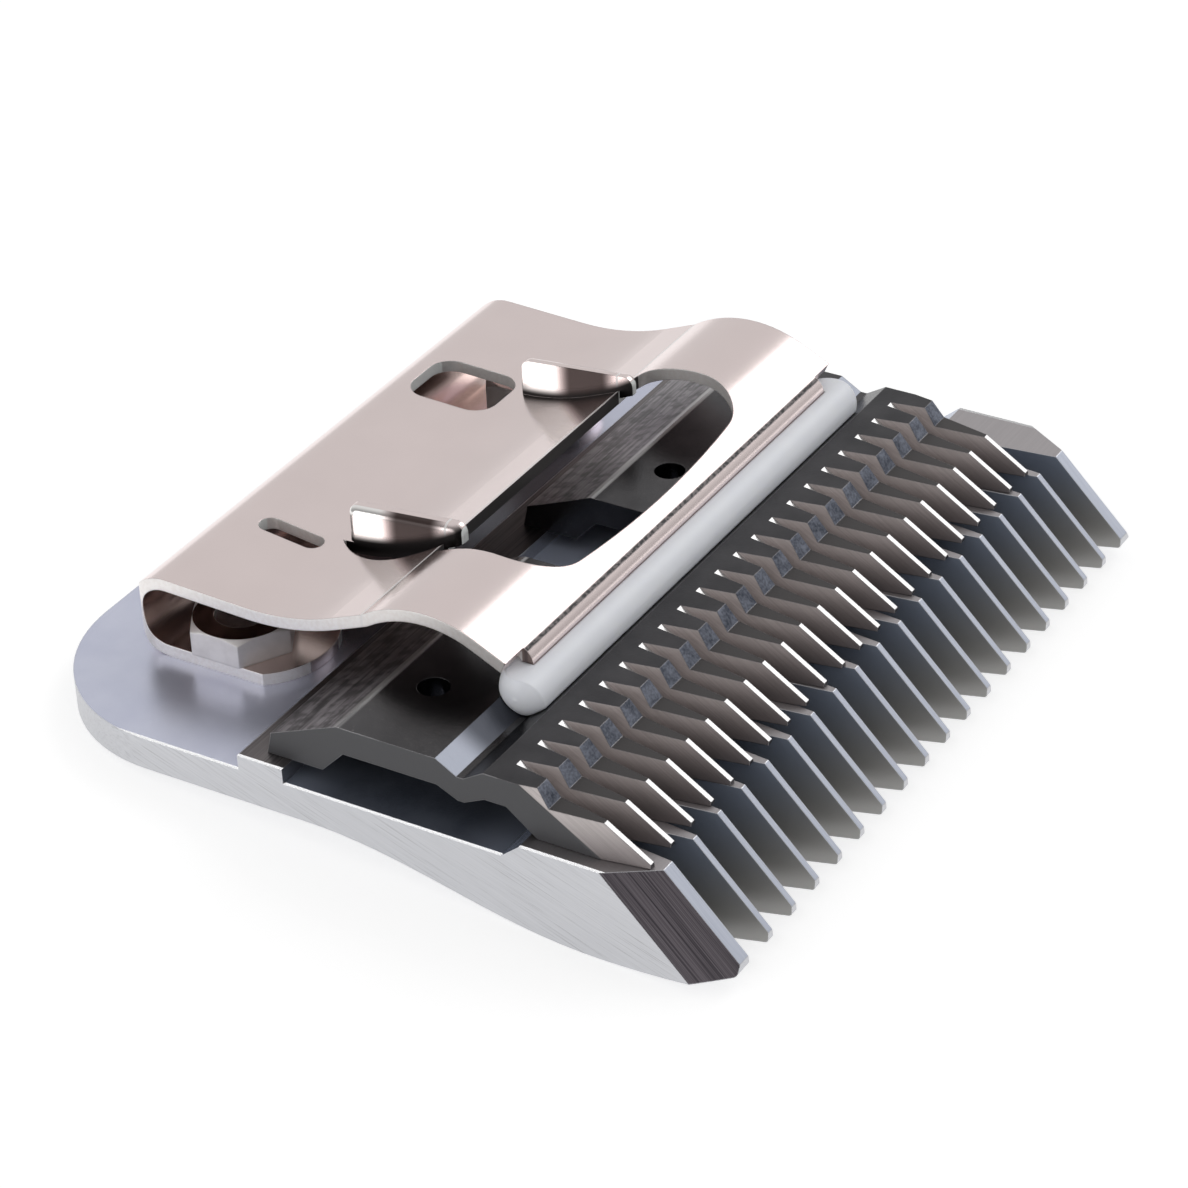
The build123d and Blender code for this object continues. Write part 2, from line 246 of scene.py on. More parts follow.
def add_lamp(name, azimuth, elevation, distance, size, watts):
    """A square soft box that faces the blade from a place in the room: angles in degrees, sizes in metres."""
    lamp = bpy.data.objects.new(name, bpy.data.lights.new(name, "AREA"))
    lamp.data.size = size
    lamp.data.energy = watts
    towards = direction(radians(azimuth), radians(elevation))
    lamp.location = towards * distance
    lamp.rotation_euler = towards.to_track_quat("Z", "Y").to_euler()
    bpy.context.scene.collection.objects.link(lamp)


add_world()
add_lamp("soft_box_right", azimuth=71, elevation=41.5, distance=0.55, size=0.28, watts=0.40)
add_lamp("soft_box_left", azimuth=-118, elevation=15, distance=0.6, size=0.3, watts=0.5)

# %% [markdown]
# ## Where on the blade: Place, Facing and Within
# One solid wears several finishes, so each finish has to know where it lies. Faces could be picked by hand
# and given slots of their own, but the choice would be lost whenever the solids are built again. Three node
# groups find the faces instead. *Place* gives millimetres from the line where the comb's teeth begin to
# slope, at the height of the rails. *Facing* tells which way a surface looks, with left and right treated
# alike, because the blade is symmetric. *Within* keeps a finish inside a band.

# %% Place, Facing and Within
TIP_REACH = 4.3 * MM
FACING_SOFTNESS = 0.02
UP = (0.0, 0.0, 1.0)
SIDEWAYS = (1.0, 0.0, 0.0)
FORWARD = (0.0, -1.0, 0.0)
datum = Vector((0.0, comb_low.y + TIP_REACH, cutter_low.z))


def place_group():
    """Object coordinates from the datum, in millimetres."""
    sockets = {"Spot": "Vector", "Across": "Float", "Length": "Float", "Height": "Float"}
    group, tree, _, result = new_group("Place", {}, sockets)
    coordinates = tree.node("ShaderNodeTexCoord").outputs["Object"]
    moved = tree.vector("SUBTRACT", coordinates, datum)
    spot = tree.vector("MULTIPLY", moved, (1 / MM, 1 / MM, 1 / MM))
    parts = tree.node("ShaderNodeSeparateXYZ", {0: spot}).outputs
    for output, value in zip(result, (spot, parts["X"], parts["Y"], parts["Z"])):
        tree.put(value, output)
    return group


def facing_group():
    """How nearly a surface faces a direction: a step of the dot product at the limit, X made positive."""
    sockets = {"Direction": "Vector", "Limit": "Float"}
    group, tree, given, result = new_group("Facing", sockets, {"Mask": "Float"})
    normal = tree.node("ShaderNodeNewGeometry").outputs["Normal"]
    parts = tree.node("ShaderNodeSeparateXYZ", {0: normal}).outputs
    folded_parts = {0: tree.math("ABSOLUTE", parts["X"]), 1: parts["Y"], 2: parts["Z"]}
    folded = tree.node("ShaderNodeCombineXYZ", folded_parts).outputs[0]
    likeness = tree.vector("DOT_PRODUCT", folded, given["Direction"])
    low = tree.math("SUBTRACT", given["Limit"], FACING_SOFTNESS)
    high = tree.math("ADD", given["Limit"], FACING_SOFTNESS)
    tree.put(tree.ramp(likeness, low, high), result["Mask"])
    return group


def within_group():
    """1 between two values and 0 outside, with soft ends."""
    sockets = {"Value": "Float", "Low": "Float", "High": "Float", "Soft": "Float"}
    group, tree, given, result = new_group("Within", sockets, {"Mask": "Float"})
    ends = []
    for end in ("Low", "High"):
        before = tree.math("SUBTRACT", given[end], given["Soft"])
        after = tree.math("ADD", given[end], given["Soft"])
        ends.append(tree.ramp(given["Value"], before, after))
    tree.put(tree.math("SUBTRACT", ends[0], ends[1]), result["Mask"])
    return group


PLACE, FACING, WITHIN = place_group(), facing_group(), within_group()


def facing(tree, way, limit):
    """Mask of the surfaces that look a given way."""
    return tree.group(FACING, Direction=way, Limit=limit)["Mask"]


def within(tree, value, low, high, soft):
    """Mask of the places where a value lies in a band."""
    return tree.group(WITHIN, Value=value, Low=low, High=high, Soft=soft)["Mask"]


print("datum in mm:", [round(value / MM, 2) for value in datum])

# %% [markdown]
# ## What the metal went through: Grinding, Mottle and Edges
# Three more groups draw the traces of the work. *Grinding* draws the fine parallel lines of a wheel, by
# noise that is stretched along them. *Mottle* is the cloudy unevenness of a bath. *Edges* finds the sharp
# edges, where coatings wear and light catches. Scanned textures would need unwrapped faces and would
# stretch on the bends; noise in the object's own millimetres needs neither and keeps its true size
# everywhere.


# %% Grinding, Mottle and Edges
def contrasted(tree, noise, contrast):
    """A smooth step about the middle of the noise, narrower as the contrast goes up."""
    half = tree.math("DIVIDE", 0.25, contrast)
    return tree.ramp(noise, tree.math("SUBTRACT", 0.5, half), tree.math("ADD", 0.5, half))


def grinding_group():
    """Noise stretched along a direction: the share along it divided by the length, the rest by the width."""
    sockets = {"Direction": "Vector", "Width": "Float", "Length": "Float", "Contrast": "Float"}
    group, tree, given, result = new_group("Grinding", sockets, {"Lines": "Float"})
    spot = tree.group(PLACE)["Spot"]
    along = tree.vector("DOT_PRODUCT", spot, given["Direction"])
    scaled = tree.node("ShaderNodeVectorMath", {0: given["Direction"], "Scale": along}, operation="SCALE")
    straight = scaled.outputs[0]
    rest = tree.vector("SUBTRACT", spot, straight)
    width = tree.node("ShaderNodeCombineXYZ", dict.fromkeys(range(3), given["Width"])).outputs[0]
    length = tree.node("ShaderNodeCombineXYZ", dict.fromkeys(range(3), given["Length"])).outputs[0]
    across, run = tree.vector("DIVIDE", rest, width), tree.vector("DIVIDE", straight, length)
    stretched = tree.vector("ADD", across, run)
    noise = tree.node("ShaderNodeTexNoise", {"Vector": stretched, "Scale": 1.0, "Detail": 3.0}).outputs[0]
    tree.put(contrasted(tree, noise, given["Contrast"]), result["Lines"])
    return group


def mottle_group():
    """Cloudy noise of a given size in millimetres."""
    sockets = {"Size": "Float", "Contrast": "Float"}
    group, tree, given, result = new_group("Mottle", sockets, {"Clouds": "Float"})
    scale = tree.math("DIVIDE", 1.0, given["Size"])
    spot = tree.group(PLACE)["Spot"]
    noise = tree.node("ShaderNodeTexNoise", {"Vector": spot, "Scale": scale, "Detail": 4.0}).outputs[0]
    tree.put(contrasted(tree, noise, given["Contrast"]), result["Clouds"])
    return group


def edges_group():
    """Sharp edges: the normal of a rounded edge, and how far it leans from the face's own normal."""
    sockets = {"Mask": "Float", "Normal": "Vector"}
    group, tree, given, result = new_group("Edges", {"Radius": "Float"}, sockets)
    rounded = tree.node("ShaderNodeBevel", {"Radius": given["Radius"]}, samples=4).outputs[0]
    plain = tree.node("ShaderNodeNewGeometry").outputs["Normal"]
    likeness = tree.vector("DOT_PRODUCT", rounded, plain)
    tree.put(tree.ramp(likeness, 0.995, 0.90), result["Mask"])
    tree.put(rounded, result["Normal"])
    return group


GRINDING, MOTTLE, EDGES = grinding_group(), mottle_group(), edges_group()


def grinding(tree, way, width, length, contrast):
    """Lines of a wheel that ran a given way, with the width and length of a line in millimetres."""
    return tree.group(GRINDING, Direction=way, Width=width, Length=length, Contrast=contrast)["Lines"]


def mottle(tree, size, contrast):
    """Clouds of a given size in millimetres."""
    return tree.group(MOTTLE, Size=size, Contrast=contrast)["Clouds"]


print("shared effects:", [group.name for group in bpy.data.node_groups])

# %% [markdown]
# ## From recipe to finish
# A finish is a stack of layers, each with a mask, a colour, a roughness and a share of metal. Later layers
# cover earlier ones, the way a ground face cuts through a blackened skin. Whole shaders could be mixed
# instead, but one shader with mixed values renders faster and can be exported. Edges get a rounded normal,
# so that they catch light as broken edges do.


# %% Layered finish
def new_finish(name):
    """A material with a Principled shader, its tree and the shader's sockets."""
    material = bpy.data.materials.new(name)
    material.use_nodes = True
    return material, Tree(material.node_tree), material.node_tree.nodes["Principled BSDF"].inputs


def layered(tree, shader, base, layers=()):
    """Stacks layers of mask, colour, roughness and metal share on a base, and feeds the shader."""
    colour, roughness, metal = base
    for mask, layer_colour, layer_roughness, layer_metal in layers:
        colour = tree.mix(mask, colour, layer_colour)
        roughness = tree.blend(mask, roughness, layer_roughness)
        metal = tree.blend(mask, metal, layer_metal)
    tree.put(colour, shader["Base Color"])
    tree.put(roughness, shader["Roughness"])
    tree.put(metal, shader["Metallic"])


def relief(tree, shader, height, strength, rounded):
    """Fine relief from a height between 0 and 1, on top of the normal of rounded edges."""
    sockets = {"Height": height, "Strength": strength, "Distance": 0.02 * MM, "Normal": rounded}
    tree.put(tree.node("ShaderNodeBump", sockets).outputs[0], shader["Normal"])


def dress(material, *node_names):
    """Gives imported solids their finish."""
    for node_name in node_names:
        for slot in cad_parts[node_name].material_slots:
            slot.material = material
        print(node_name, "wears", material.name)


print("layers feed Base Color, Roughness and Metallic; relief feeds Normal")

# %% [markdown]
# ## Ground steel of the comb: its colours
# The comb is pressed, hardened and then ground. The plate and sides keep a pale satin skin with stray
# scratches, the rails are ground flat and brownish, the pocket between them keeps its dark hardening scale,
# the tooth lands are lapped bright, the walls of the slots are slate and the corner facets show the coarse
# streaks of the wheel. Under the spring the plate is painted dark, as painted shade. The front end of the
# rails is painted lighter, as painted light, and the pocket is painted a lighter blue near the rails than in
# its shaded middle. One noise for all of it would look like paint, so each face gets the lines of its own
# operation.

# %% Comb colours
COMB_SLOPE = radians(46)
SLOPE_UP = (0.0, -sin(COMB_SLOPE), cos(COMB_SLOPE))
SLOPE_DOWN = (0.0, -cos(COMB_SLOPE), -sin(COMB_SLOPE))
SCRATCH_WAY = (0.0, 0.94, 0.34)
RAIL_FRONT_END = 7.5
POCKET_MIDDLE = (10.2, 20.2)
UNDER_SPRING_ACROSS = (15.0, 11.0)
UNDER_SPRING_LENGTHS = (34.0, 31.0)
WALL_HEIGHTS = (-4.2, -0.3)


def comb_colours(tree, place):
    """The colour of each face of the comb by name, and the height of its scratches and streaks."""
    length = place["Length"]
    aside = tree.math("ABSOLUTE", place["Across"])
    clouds = mottle(tree, 3.0, 0.8)
    scratches = grinding(tree, SCRATCH_WAY, 0.05, 5.0, 1.5)
    wheel = grinding(tree, SIDEWAYS, 0.07, 9.0, 1.0)
    streaks = grinding(tree, SLOPE_DOWN, 0.05, 10.0, 1.1)
    fine = grinding(tree, SLOPE_DOWN, 0.06, 4.0, 0.8)

    skin = tree.mix(scratches, (0.555, 0.56, 0.585), (0.615, 0.62, 0.645))
    skin = tree.mix(tree.ramp(scratches, 0.04, 0.0, 0.0, 0.4), skin, (0.22, 0.21, 0.21))
    plate = tree.mix(clouds, (0.64, 0.665, 0.81), (0.72, 0.745, 0.88))
    # Painted shade: the plate under the spring is painted nearly black, as the shade of the spring over it.
    painted_shade_under_spring = tree.all_of(
        tree.ramp(aside, *UNDER_SPRING_ACROSS, 0.0, 0.9), tree.ramp(length, *UNDER_SPRING_LENGTHS))
    plate = tree.mix(painted_shade_under_spring, plate, (0.06, 0.063, 0.075))
    rail = tree.mix(wheel, (0.12, 0.11, 0.112), (0.24, 0.22, 0.222))
    # Painted light: the front end of the rails is painted a lighter colour than the rest of them.
    painted_light_at_front = tree.ramp(length, RAIL_FRONT_END + 0.5, RAIL_FRONT_END, 0.0, 0.7)
    rail = tree.mix(painted_light_at_front, rail, (0.56, 0.53, 0.54))
    pocket = tree.mix(clouds, (0.17, 0.195, 0.26), (0.27, 0.30, 0.375))
    # Painted light and shade: the pocket is painted a lighter blue near the rails and keeps darker clouds in
    # its shaded middle.
    pocket = tree.mix(within(tree, length, *POCKET_MIDDLE, 1.6), (0.46, 0.51, 0.64), pocket)
    depth = tree.ramp(place["Height"], *WALL_HEIGHTS)
    colours = {
        "skin": skin, "plate": plate, "rail": rail, "pocket": pocket,
        "facet": tree.mix(streaks, (0.09, 0.08, 0.092), (0.28, 0.25, 0.275)),
        "land": tree.mix(fine, (0.58, 0.615, 0.72), (0.69, 0.725, 0.82)),
        "wall": tree.mix(depth, (0.38, 0.375, 0.365), (0.275, 0.31, 0.38)),
    }
    return colours, tree.math("ADD", scratches, streaks)


print("comb slope rises to:", [round(value, 2) for value in SLOPE_UP])

# %% [markdown]
# ## Ground steel of the comb: where each colour lies
# Every face is named by where it is and which way it looks: the tail is flat and behind the rails, a slot
# wall looks sideways but isn't the comb's own side, a land follows the slope. A thin rim along both sides
# was broken with a stone. It is far too narrow to model, so its normal alone is turned outwards, and it
# mirrors the floor.

# %% Comb finish
COMB_FACET = Vector((0.753, -0.474, 0.455))
COMB_HALF = comb_high.x / MM
RAIL_REAR_START = 22.15
RAIL_REAR_END = 25.0
NOTCH_ACROSS = (-5.0, 5.0)
NOTCH_LENGTHS = (18.0, 19.5)
RIM_NORMAL = (0.98, 0.17)


def comb_faces(tree, place):
    """A mask for each face of the comb, by name."""
    length = place["Length"]
    aside = tree.math("ABSOLUTE", place["Across"])
    up = facing(tree, UP, 0.95)
    tail = tree.all_of(up, tree.ramp(length, RAIL_REAR_END - 0.02, RAIL_REAR_END + 0.02))
    between = within(tree, length, RAIL_FRONT_END, RAIL_REAR_START, 0.01)
    pocket = tree.all_of(between, tree.ramp(place["Height"], -0.03, -0.06), facing(tree, UP, 0.5))
    by_notch = within(tree, place["Across"], *NOTCH_ACROSS, 1.0)
    inside = tree.ramp(aside, COMB_HALF - 0.02, COMB_HALF - 0.04)
    at_slots = tree.ramp(length, RAIL_FRONT_END + 0.1, RAIL_FRONT_END)
    rise = tree.vector("DOT_PRODUCT", place["Spot"], SLOPE_UP)
    return {
        "tail": tail, "top": tree.math("SUBTRACT", up, tail), "pocket": pocket,
        # Where the pocket floor is painted light, under the cutter's drive notch.
        "painted_light_under_notch": tree.all_of(by_notch, tree.ramp(length, *NOTCH_LENGTHS), pocket),
        "wall": tree.all_of(facing(tree, SIDEWAYS, 0.9), inside, at_slots),
        "land": tree.all_of(facing(tree, SLOPE_UP, 0.97), tree.ramp(rise, -0.6, -0.3)),
        "facet": facing(tree, COMB_FACET, 0.97),
        "rim": tree.all_of(up, tree.ramp(aside, COMB_HALF - 0.22, COMB_HALF - 0.17)),
    }


def comb_finish():
    """Pale satin steel with ground rails, dark pocket, bright lands, slate slot walls and streaked facets."""
    material, tree, shader = new_finish("ground_steel_finish")
    place = tree.group(PLACE)
    colour, lines = comb_colours(tree, place)
    on = comb_faces(tree, place)
    edges = tree.group(EDGES, Radius=0.07 * MM)
    layered(tree, shader, (colour["skin"], 0.34, 1.0), [
        (on["tail"], colour["plate"], 0.27, 0.7),
        (on["top"], colour["rail"], 0.42, 1.0),
        (on["pocket"], colour["pocket"], 0.25, 0.7),
        # Painted light: the pocket floor under the drive notch is painted pale and matt, as the light that
        # falls through the notch.
        (on["painted_light_under_notch"], (0.55, 0.60, 0.74), 0.3, 0.2),
        (on["wall"], colour["wall"], 0.38, 0.6),
        (on["land"], colour["land"], 0.34, 1.0),
        (on["facet"], colour["facet"], 0.5, 1.0),
        # Painted highlight: the comb's sharp edges are painted a light colour, a bright line along each edge.
        (edges["Mask"], (0.80, 0.81, 0.84), 0.3, 1.0),
        (on["rim"], (0.96, 0.96, 0.97), 0.25, 1.0),
    ])
    outward = tree.math("MULTIPLY", tree.math("SIGN", place["Across"]), RIM_NORMAL[0])
    rim_normal = tree.node("ShaderNodeCombineXYZ", {0: outward, 2: RIM_NORMAL[1]}).outputs[0]
    relief(tree, shader, lines, 0.08, tree.mix(on["rim"], edges["Normal"], rim_normal))
    return material


dress(comb_finish(), "comb")

# %% [markdown]
# ## Blackened steel of the cutter: its colours
# The cutter is blackened all over, then its teeth are ground: bright bevels, beige slot walls with the
# wheel's lines, a rough mottled step behind the teeth. The long rear bevel is brushed brown and blotched
# with oil, and fine dust lies on the black. A black paint would swallow the light; this is still metal, so
# the black is a dark metal that mirrors the room faintly.

# %% Cutter colours
CUTTER_MIDDLE = (cutter_low.x + cutter_high.x) / 2 / MM
CUTTER_HALF = (cutter_high.x - cutter_low.x) / 2 / MM
BEVEL_SLOPE = radians(32.8)
BEVEL_UP = (0.0, -sin(BEVEL_SLOPE), cos(BEVEL_SLOPE))
BEVEL_DOWN = (0.0, -cos(BEVEL_SLOPE), -sin(BEVEL_SLOPE))
TOOTH_HEIGHTS = (0.0, 2.2)


def cutter_aside(tree, place):
    """Distance from the cutter's own middle, which at rest is off the comb's."""
    return tree.math("ABSOLUTE", tree.math("SUBTRACT", place["Across"], CUTTER_MIDDLE))


def cutter_colours(tree, place):
    """The colour of each face of the cutter by name, the height of its spots and lines, and its clouds."""
    clouds = mottle(tree, 2.5, 0.8)
    spots = mottle(tree, 0.16, 1.6)
    soft = mottle(tree, 0.7, 0.9)
    dust = tree.ramp(mottle(tree, 0.13, 0.85), 0.86, 0.96, 0.0, 0.4)
    lines = grinding(tree, BEVEL_DOWN, 0.06, 4.0, 0.9)
    brush = grinding(tree, SIDEWAYS, 0.25, 4.0, 0.9)

    black = tree.mix(clouds, (0.07, 0.068, 0.071), (0.105, 0.102, 0.106))
    wall = tree.mix(tree.ramp(place["Height"], *TOOTH_HEIGHTS), (0.27, 0.24, 0.24), (0.60, 0.55, 0.54))
    rear = tree.mix(brush, (0.12, 0.11, 0.117), (0.40, 0.375, 0.395))
    oil = tree.ramp(soft, 0.3, 0.9, 0.0, 0.6)
    # Painted light and shade: the groove is painted lighter near the cutter's ends and dark in its middle,
    # under the spring.
    painted_light_near_end = tree.ramp(cutter_aside(tree, place), CUTTER_HALF - 3.5, CUTTER_HALF - 1.5)
    colours = {
        "black": tree.mix(dust, black, (0.42, 0.39, 0.38)),
        "front": tree.mix(clouds, (0.055, 0.054, 0.058), (0.085, 0.083, 0.088)),
        "wall": tree.mix(tree.math("MULTIPLY", lines, 0.3), wall, (0.16, 0.145, 0.142)),
        "step": tree.mix(tree.blend(0.4, soft, spots), (0.065, 0.073, 0.095), (0.28, 0.30, 0.36)),
        "rear": tree.mix(oil, rear, (0.05, 0.047, 0.05)),
        # The groove's colour is painted light near the ends and painted shade in the middle.
        "groove": tree.mix(painted_light_near_end, (0.07, 0.074, 0.088), (0.27, 0.285, 0.33)),
    }
    return colours, tree.math("ADD", spots, lines), clouds


print("cutter middle and half width in mm:", round(CUTTER_MIDDLE, 2), round(CUTTER_HALF, 2))

# %% [markdown]
# ## Blackened steel of the cutter: where each colour lies
# Behind the teeth come the step, the black front, the groove for the guide, the flat, the ridge and the
# rear bevel. Every edge is rubbed bright by handling, more in some places than in others, except around the
# holes in the flat, which nothing touches.

# %% Cutter finish
STEP_FACE = Vector((0.0, -0.82, 0.57))
REAR_BEVEL = Vector((0.0, 0.377, 0.926))
GROOVE_REAR = Vector((0.0, -0.51, 0.86))
LAND_LENGTHS = (3.2, 6.3)
STEP_LENGTHS = (6.2, 7.0)
TOOTH_REAR = 9.2
GROOVE_FRONT = 10.1
RIDGE = 19.1


def cutter_faces(tree, place):
    """A mask for each face of the cutter, by name."""
    length = place["Length"]
    aside = cutter_aside(tree, place)
    inside = tree.ramp(aside, CUTTER_HALF - 0.02, CUTTER_HALF - 0.04)
    teeth = tree.ramp(length, TOOTH_REAR + 0.1, TOOTH_REAR)
    side = facing(tree, SIDEWAYS, 0.85)
    by_ridge = within(tree, length, RIDGE - 0.2, RIDGE + 0.3, 0.1)
    fading = tree.ramp(aside, CUTTER_HALF - 1.0, CUTTER_HALF - 6.0, 0.3, 1.0)
    flat = within(tree, length, GROOVE_FRONT, RIDGE - 0.5, 0.2)
    return {
        "teeth": teeth,
        "front": tree.ramp(length, GROOVE_FRONT, GROOVE_FRONT - 0.05),
        "end": tree.all_of(side, tree.none_of(inside)),
        "land": tree.all_of(within(tree, length, *LAND_LENGTHS, 0.02), facing(tree, UP, 0.95)),
        "rear": tree.all_of(facing(tree, REAR_BEVEL, 0.98), tree.ramp(length, RIDGE - 0.1, RIDGE)),
        "ridge": tree.all_of(by_ridge, fading, facing(tree, UP, 0.85)),
        "groove": tree.all_of(facing(tree, GROOVE_REAR, 0.97), tree.none_of(teeth)),
        "step": tree.all_of(facing(tree, STEP_FACE, 0.97), within(tree, length, *STEP_LENGTHS, 0.02)),
        "wall": tree.all_of(side, inside, teeth),
        "bevel": tree.all_of(facing(tree, BEVEL_UP, 0.985), teeth),
        "handled": tree.none_of(tree.all_of(flat, inside)),
    }


def cutter_finish():
    """Black satin with bright bevels, beige slot walls, mottled step, brushed rear bevel and rubbed edges."""
    material, tree, shader = new_finish("black_steel_finish")
    place = tree.group(PLACE)
    colour, height, clouds = cutter_colours(tree, place)
    on = cutter_faces(tree, place)
    edges = tree.group(EDGES, Radius=0.07 * MM)
    rubbed = tree.all_of(edges["Mask"], tree.ramp(clouds, 0.0, 0.9, 0.4, 1.0), on["handled"])
    worn = tree.mix(on["teeth"], (0.55, 0.54, 0.55), (0.25, 0.24, 0.245))
    layered(tree, shader, (colour["black"], 0.24, 1.0), [
        (on["front"], colour["front"], 0.45, 1.0),
        (on["end"], (0.08, 0.08, 0.085), 0.5, 0.2),
        (on["land"], (0.085, 0.08, 0.08), 0.42, 1.0),
        (on["rear"], colour["rear"], 0.45, 1.0),
        (on["ridge"], (0.58, 0.57, 0.57), 0.42, 1.0),
        (on["groove"], colour["groove"], 0.36, 1.0),
        (on["step"], colour["step"], 0.5, 1.0),
        (on["wall"], colour["wall"], 0.42, 0.8),
        (on["bevel"], (0.70, 0.69, 0.69), 0.3, 1.0),
        (rubbed, worn, 0.3, 1.0),
    ])
    relief(tree, shader, height, 0.1, edges["Normal"])
    return material


dress(cutter_finish(), "cutter")

# %% [markdown]
# ## Nickel plate of the spring: its ears
# The two ears take the clipper's tongue. On their faces the rear part is painted bright and the middle
# painted a dark brown, as painted reflections, and the foot is painted black, a painted reflection of the
# dark gap below them. A mirror this small shows one patch of the room, so a slight lean of its normal
# decides whether it looks bright or dark. The solid keeps the ears upright, and only the normal leans, as
# far as the photograph's reflections ask.

# %% Spring ears
EAR_ACROSS = (8.7, 9.65)
EAR_LENGTHS = (20.2, 28.1)
PAINTED_BRIGHT_LENGTHS = (25.0, 26.0)
PAINTED_DARK_LENGTHS = (21.9, 25.2)
PAINTED_DARK_FOOT_HEIGHTS = (0.75, 0.1)
LEAF_AT_EARS = 3.95
LEAF_RISE = 0.0426
EAR_LEAN = 0.18


def over_leaf(tree, place):
    """Height over the leaf, which rises with the square of the way ahead of the ears' rear end."""
    ahead = tree.math("SUBTRACT", EAR_LENGTHS[1], place["Length"])
    rise = tree.math("MULTIPLY", tree.math("MULTIPLY", ahead, ahead), LEAF_RISE)
    return tree.math("SUBTRACT", tree.math("SUBTRACT", place["Height"], LEAF_AT_EARS), rise)


def ear_faces(tree, place):
    """A mask for each part of the ears by name, and one for the other edges of the sheet."""
    length = place["Length"]
    aside = tree.math("ABSOLUTE", place["Across"])
    sideways = facing(tree, SIDEWAYS, 0.3)
    ear = tree.all_of(within(tree, aside, *EAR_ACROSS, 0.02), within(tree, length, *EAR_LENGTHS, 0.02))
    face = tree.all_of(ear, sideways)
    return {
        "ear_face": face,
        # Where the ear faces are painted with a bright reflection at the rear and a dark one in the middle.
        "painted_bright_rear": tree.all_of(face, tree.ramp(length, *PAINTED_BRIGHT_LENGTHS)),
        "painted_dark_middle": tree.all_of(within(tree, length, *PAINTED_DARK_LENGTHS, 0.6), face),
        # Where the ear faces are painted black near the leaf.
        "painted_dark_foot": tree.all_of(face, tree.ramp(over_leaf(tree, place), *PAINTED_DARK_FOOT_HEIGHTS)),
        "ear_end": tree.all_of(facing(tree, FORWARD, 0.8), ear),
        "sheared": tree.all_of(sideways, tree.none_of(ear)),
    }


print("ears in mm from the datum:", EAR_LENGTHS)

# %% [markdown]
# ## Nickel plate of the spring: the sheet
# The spring is rolled sheet, bent and then nickel plated: warm, nearly a mirror, with a faint haze and
# rolling lines along its length. Inside the fold the plate is painted brown, darker in the bend, as painted
# shade and reflection. Where it was sheared the edge is cream and duller, darker at the toe, with a dark
# speckled line along the toe's bend. The sheared edge at the window's rear is painted dark, a painted
# reflection of the cutter below it, and a painted highlight marks the crease in front of the ears. The masks
# are made from lengths along the sheet, because the bends would fool a mask that only asks which way a face
# looks.

# %% Spring finish
FOLD_MIDDLE = (34.6, 1.6)
INNER_REACH = 2.1
LOBE_FRONT = 26.5
WINDOW_REAR_LENGTHS = (17.5, 22.0)
SLOT_LENGTHS = (EAR_LENGTHS[1] + 0.5, FOLD_MIDDLE[0])
CREASE = 21.44
CREASE_HALF = 0.07
DARK_LINE_LENGTHS = (12.2, 12.42)
TOE_LENGTHS = (12.6, 12.5)
TOE_END = 15.95


def fold_reach(tree, place):
    """Distance from the middle of the fold: the root of run beyond it squared plus height over it squared."""
    beyond = tree.math("MAXIMUM", tree.math("SUBTRACT", place["Length"], FOLD_MIDDLE[0]), 0.0)
    above = tree.math("SUBTRACT", place["Height"], FOLD_MIDDLE[1])
    squares = tree.math("ADD", tree.math("MULTIPLY", beyond, beyond), tree.math("MULTIPLY", above, above))
    return tree.math("SQRT", squares)


def sheet_faces(tree, place, specks):
    """A mask for each part of the sheet, by name."""
    length = place["Length"]
    aside = tree.math("ABSOLUTE", place["Across"])
    forward = facing(tree, FORWARD, 0.8)
    inside = tree.all_of(
        tree.ramp(fold_reach(tree, place), INNER_REACH + 0.05, INNER_REACH - 0.05),
        tree.ramp(length, LOBE_FRONT - 0.1, LOBE_FRONT))
    creased = within(tree, length, CREASE - CREASE_HALF, CREASE + CREASE_HALF, 0.03)
    return {
        "inside": inside,
        "painted_shade_in_bend": tree.all_of(inside, tree.ramp(length, FOLD_MIDDLE[0], FOLD_MIDDLE[0] + 0.8)),
        "window_rear": tree.all_of(within(tree, length, *WINDOW_REAR_LENGTHS, 0.1), forward),
        "slot_wall": tree.all_of(within(tree, length, *SLOT_LENGTHS, 0.1), forward),
        "painted_crease_highlight": tree.all_of(creased, tree.ramp(place["Height"], LEAF_AT_EARS, LEAF_AT_EARS + 0.2)),
        "toe": tree.ramp(length, *TOE_LENGTHS),
        "dark_toe_line": tree.all_of(
            within(tree, length, *DARK_LINE_LENGTHS, 0.06), tree.ramp(specks, 0.2, 0.7, 0.85, 1.0),
            tree.ramp(aside, TOE_END + 0.2, TOE_END)),
    }


